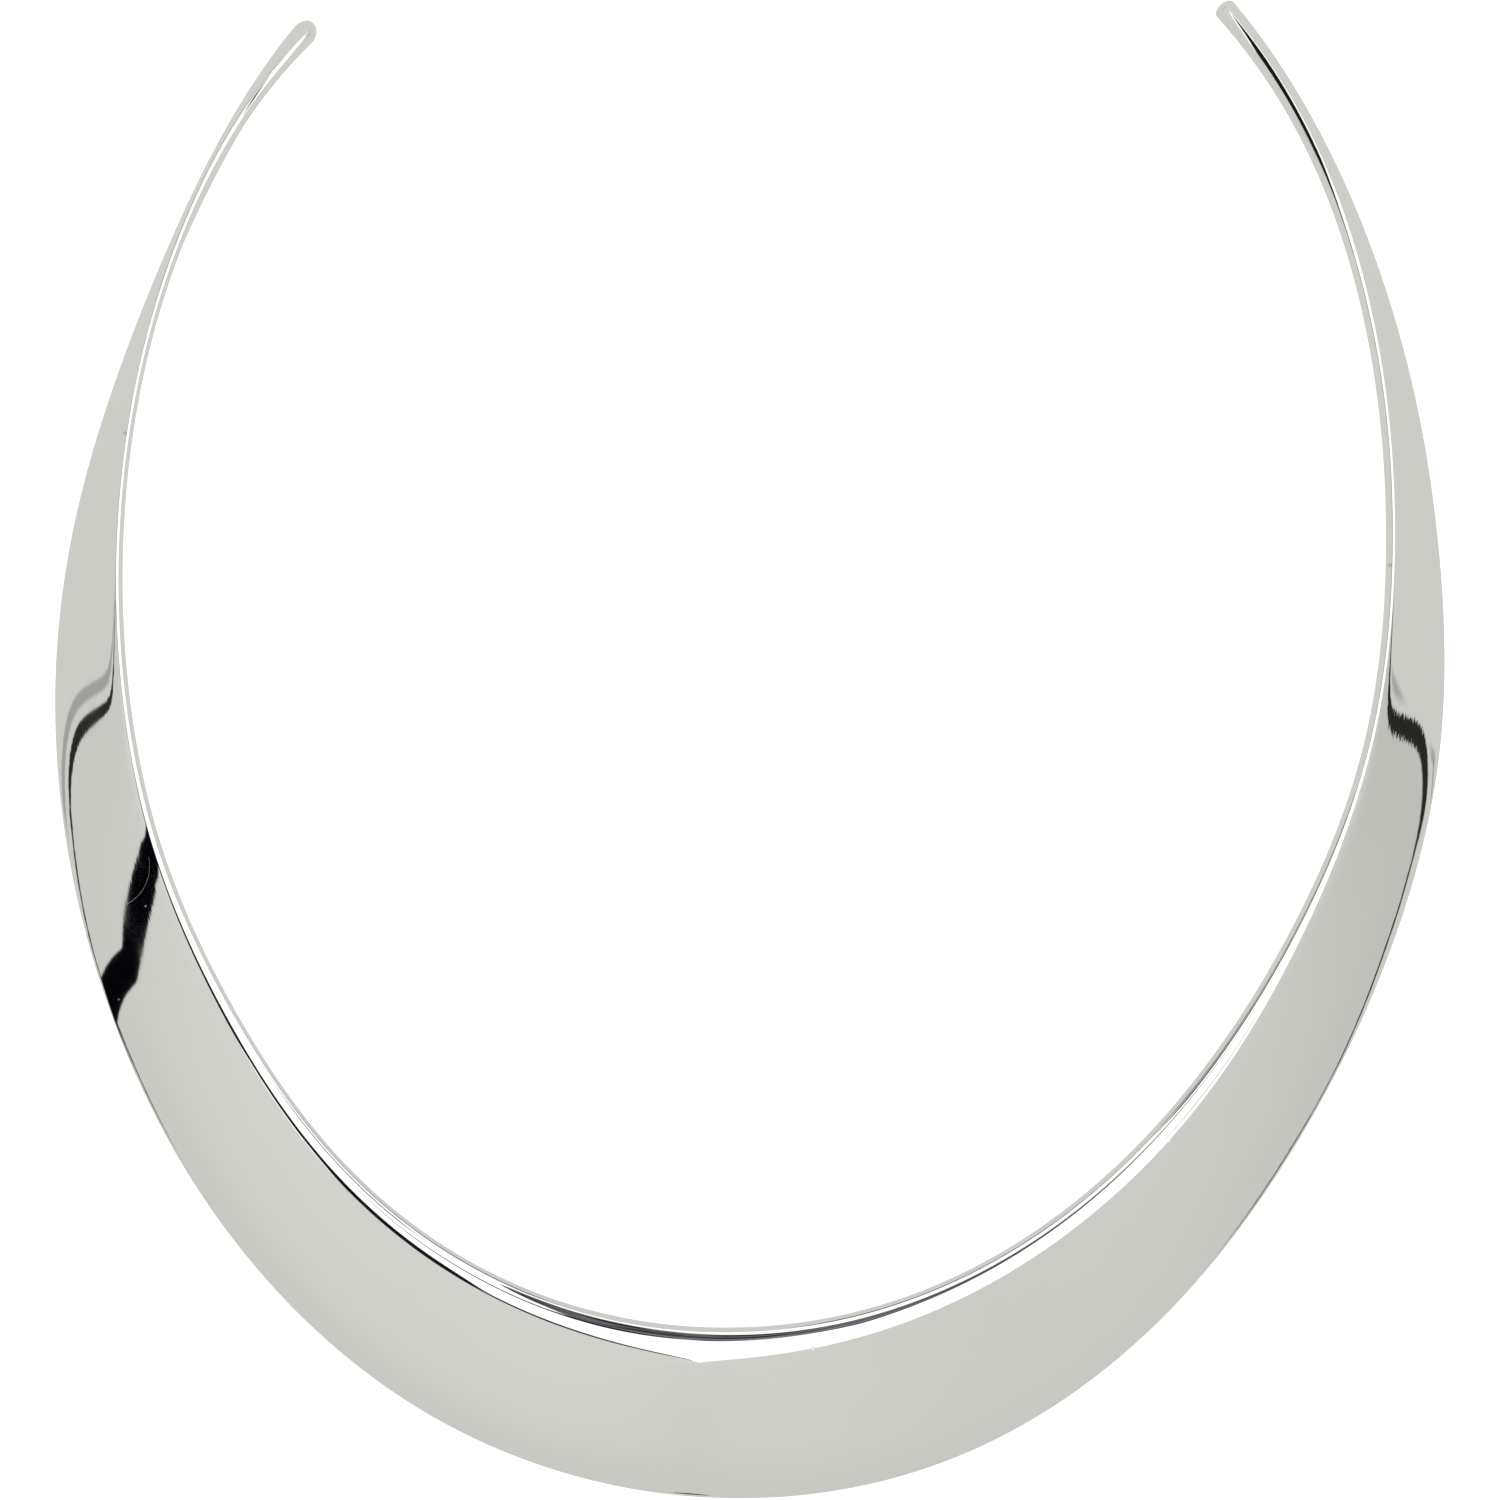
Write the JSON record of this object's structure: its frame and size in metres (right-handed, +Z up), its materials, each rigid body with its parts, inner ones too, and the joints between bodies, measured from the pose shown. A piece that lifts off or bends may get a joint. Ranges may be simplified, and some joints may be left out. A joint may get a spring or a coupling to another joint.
{
  "type": "collar choker",
  "caption": "Rigid open collar for the neck in polished silver, broad and sloping at the front and narrowing to thin upright arms with rounded tips.",
  "frame": {"origin": "on the surface that the collar lies on, under the middle of its box", "axes": "+Z up; the broad front faces -Y and the gap between the tips faces +Y; +X is the right-hand arm as seen from above with the front nearest"},
  "size_m": [0.135, 0.1486, 0.0128],
  "materials": {
    "silver": "mirror-polished silver with a very fine ripple and faint hairline scratches"
  },
  "bodies": {
    "root": {"collar": "silver"}
  },
  "joints": []
}
